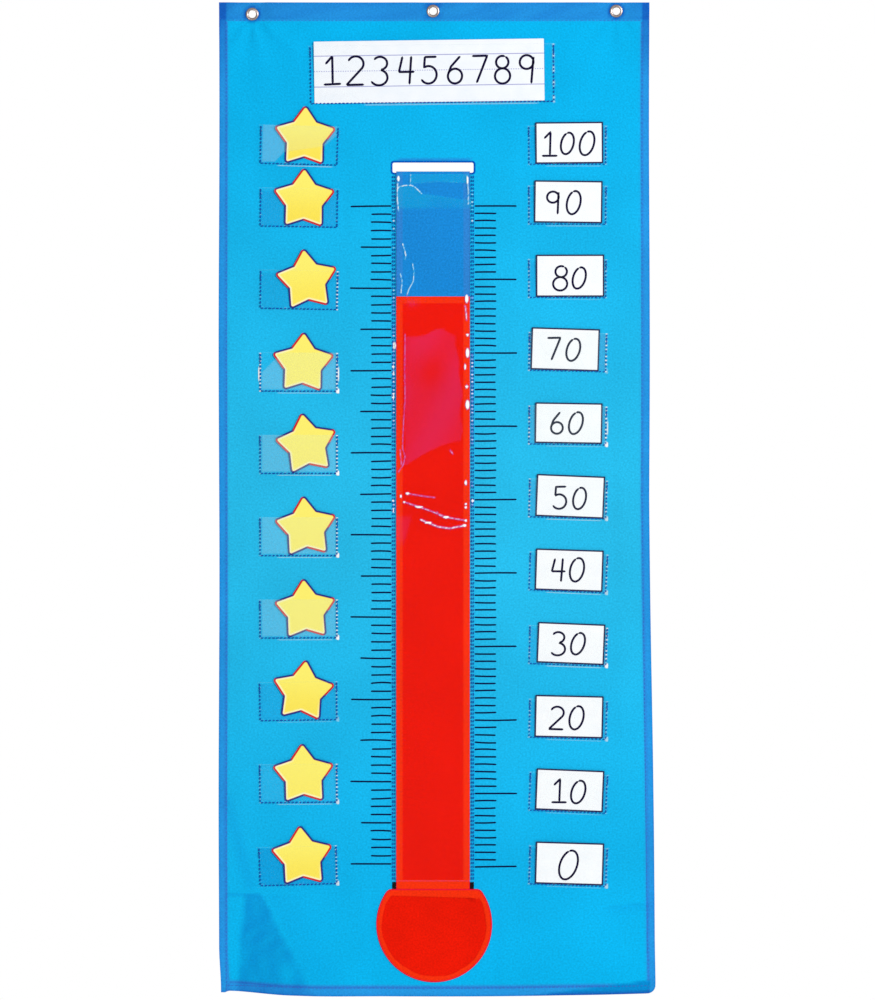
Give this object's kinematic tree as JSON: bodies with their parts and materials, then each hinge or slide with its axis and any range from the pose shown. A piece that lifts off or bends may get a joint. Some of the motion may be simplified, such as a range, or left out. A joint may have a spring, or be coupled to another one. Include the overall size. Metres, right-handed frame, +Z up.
{
  "type": "pocket chart",
  "caption": "Hanging blue cloth goal chart: a red tape level slides under a clear sleeve above a red bulb, between a column of star pockets and a column of number card pockets.",
  "frame": {"origin": "centre of the middle grommet's bore, in the plane of the wall that the washers touch", "axes": "+Z up, +X to the right as the chart is read, +Y into the wall; the chart faces -Y"},
  "size_m": [0.5457, 0.0133, 1.2425],
  "materials": {
    "panel_cloth": "matt woven nylon",
    "red_cloth": "matt woven nylon",
    "blue_tape": "matt woven nylon",
    "clear_vinyl": "clear and glossy",
    "card": "matt white",
    "star_card": "printed yellow",
    "nickel": "bright nickel plate"
  },
  "bodies": {
    "chart": {"backing_panel": "panel_cloth", "grommet_left": "nickel", "washer_left": "nickel", "grommet_middle": "nickel", "washer_middle": "nickel", "grommet_right": "nickel", "washer_right": "nickel", "title_pocket": "clear_vinyl", "star_pocket_01": "clear_vinyl", "star_pocket_02": "clear_vinyl", "star_pocket_03": "clear_vinyl", "star_pocket_04": "clear_vinyl", "star_pocket_05": "clear_vinyl", "star_pocket_06": "clear_vinyl", "star_pocket_07": "clear_vinyl", "star_pocket_08": "clear_vinyl", "star_pocket_09": "clear_vinyl", "star_pocket_10": "clear_vinyl", "number_pocket_100": "clear_vinyl", "number_pocket_090": "clear_vinyl", "number_pocket_080": "clear_vinyl", "number_pocket_070": "clear_vinyl", "number_pocket_060": "clear_vinyl", "number_pocket_050": "clear_vinyl", "number_pocket_040": "clear_vinyl", "number_pocket_030": "clear_vinyl", "number_pocket_020": "clear_vinyl", "number_pocket_010": "clear_vinyl", "number_pocket_000": "clear_vinyl", "tape_sleeve": "clear_vinyl", "bulb_patch": "red_cloth", "tape_blue_front": "blue_tape", "tape_red_front": "red_cloth", "tape_blue_back": "blue_tape", "tape_red_back": "red_cloth"},
    "level": {"level_seam": "red_cloth"},
    "back_level": {"back_seam": "blue_tape"},
    "title": {"title_card": "card"},
    "star_01": {"star_card_01": "star_card"},
    "star_02": {"star_card_02": "star_card"},
    "star_03": {"star_card_03": "star_card"},
    "star_04": {"star_card_04": "star_card"},
    "star_05": {"star_card_05": "star_card"},
    "star_06": {"star_card_06": "star_card"},
    "star_07": {"star_card_07": "star_card"},
    "star_08": {"star_card_08": "star_card"},
    "star_09": {"star_card_09": "star_card"},
    "star_10": {"star_card_10": "star_card"},
    "number_100": {"number_card_100": "card"},
    "number_090": {"number_card_090": "card"},
    "number_080": {"number_card_080": "card"},
    "number_070": {"number_card_070": "card"},
    "number_060": {"number_card_060": "card"},
    "number_050": {"number_card_050": "card"},
    "number_040": {"number_card_040": "card"},
    "number_030": {"number_card_030": "card"},
    "number_020": {"number_card_020": "card"},
    "number_010": {"number_card_010": "card"},
    "number_000": {"number_card_000": "card"}
  },
  "joints": [
    {"name": "level_slide", "type": "slide", "parent": "chart", "child": "level", "axis": [0, 0, 1], "range_m": [-0.7124, 0.1465], "deforming": ["tape_blue_front", "tape_red_front"]},
    {"name": "back_level_slide", "type": "slide", "parent": "chart", "child": "back_level", "axis": [0, 0, 1], "range_m": [-0.1465, 0.7124], "deforming": ["tape_blue_back", "tape_red_back"]},
    {"name": "title_card_slide", "type": "slide", "parent": "chart", "child": "title", "axis": [-0.0105, -0.0262, 0.9996], "range_m": [0, 0.0716]},
    {"name": "star_01_slide", "type": "slide", "parent": "chart", "child": "star_01", "axis": [0.0262, -0.0262, 0.9993], "range_m": [0, 0.0474]},
    {"name": "star_02_slide", "type": "slide", "parent": "chart", "child": "star_02", "axis": [0.0157, -0.0262, 0.9995], "range_m": [0, 0.0474]},
    {"name": "star_03_slide", "type": "slide", "parent": "chart", "child": "star_03", "axis": [0.0192, -0.0262, 0.9995], "range_m": [0, 0.0474]},
    {"name": "star_04_slide", "type": "slide", "parent": "chart", "child": "star_04", "axis": [0.0035, -0.0262, 0.9997], "range_m": [0, 0.0474]},
    {"name": "star_05_slide", "type": "slide", "parent": "chart", "child": "star_05", "axis": [0, -0.0262, 0.9997], "range_m": [0, 0.0474]},
    {"name": "star_06_slide", "type": "slide", "parent": "chart", "child": "star_06", "axis": [0, -0.0262, 0.9997], "range_m": [0, 0.0474]},
    {"name": "star_07_slide", "type": "slide", "parent": "chart", "child": "star_07", "axis": [-0.0035, -0.0262, 0.9997], "range_m": [0, 0.0474]},
    {"name": "star_08_slide", "type": "slide", "parent": "chart", "child": "star_08", "axis": [-0.0157, -0.0262, 0.9995], "range_m": [0, 0.0474]},
    {"name": "star_09_slide", "type": "slide", "parent": "chart", "child": "star_09", "axis": [-0.0087, -0.0262, 0.9996], "range_m": [0, 0.0474]},
    {"name": "star_10_slide", "type": "slide", "parent": "chart", "child": "star_10", "axis": [-0.0297, -0.0262, 0.9992], "range_m": [0, 0.0474]},
    {"name": "number_100_slide", "type": "slide", "parent": "chart", "child": "number_100", "axis": [0, -0.0262, 0.9997], "range_m": [0, 0.0474]},
    {"name": "number_090_slide", "type": "slide", "parent": "chart", "child": "number_090", "axis": [0.0035, -0.0262, 0.9997], "range_m": [0, 0.0474]},
    {"name": "number_080_slide", "type": "slide", "parent": "chart", "child": "number_080", "axis": [0.0035, -0.0262, 0.9997], "range_m": [0, 0.0474]},
    {"name": "number_070_slide", "type": "slide", "parent": "chart", "child": "number_070", "axis": [0.0192, -0.0262, 0.9995], "range_m": [0, 0.0474]},
    {"name": "number_060_slide", "type": "slide", "parent": "chart", "child": "number_060", "axis": [0.014, -0.0262, 0.9996], "range_m": [0, 0.0474]},
    {"name": "number_050_slide", "type": "slide", "parent": "chart", "child": "number_050", "axis": [0.0297, -0.0262, 0.9992], "range_m": [0, 0.0474]},
    {"name": "number_040_slide", "type": "slide", "parent": "chart", "child": "number_040", "axis": [0.0436, -0.0262, 0.9987], "range_m": [0, 0.0474]},
    {"name": "number_030_slide", "type": "slide", "parent": "chart", "child": "number_030", "axis": [0.0349, -0.0262, 0.999], "range_m": [0, 0.0474]},
    {"name": "number_020_slide", "type": "slide", "parent": "chart", "child": "number_020", "axis": [0.0314, -0.0262, 0.9992], "range_m": [0, 0.0474]},
    {"name": "number_010_slide", "type": "slide", "parent": "chart", "child": "number_010", "axis": [0.0436, -0.0262, 0.9987], "range_m": [0, 0.0474]},
    {"name": "number_000_slide", "type": "slide", "parent": "chart", "child": "number_000", "axis": [0.0366, -0.0262, 0.999], "range_m": [0, 0.0474]}
  ],
  "couplings": [
    {"joint": "back_level_slide", "follows": "level_slide", "ratio": -1}
  ]
}
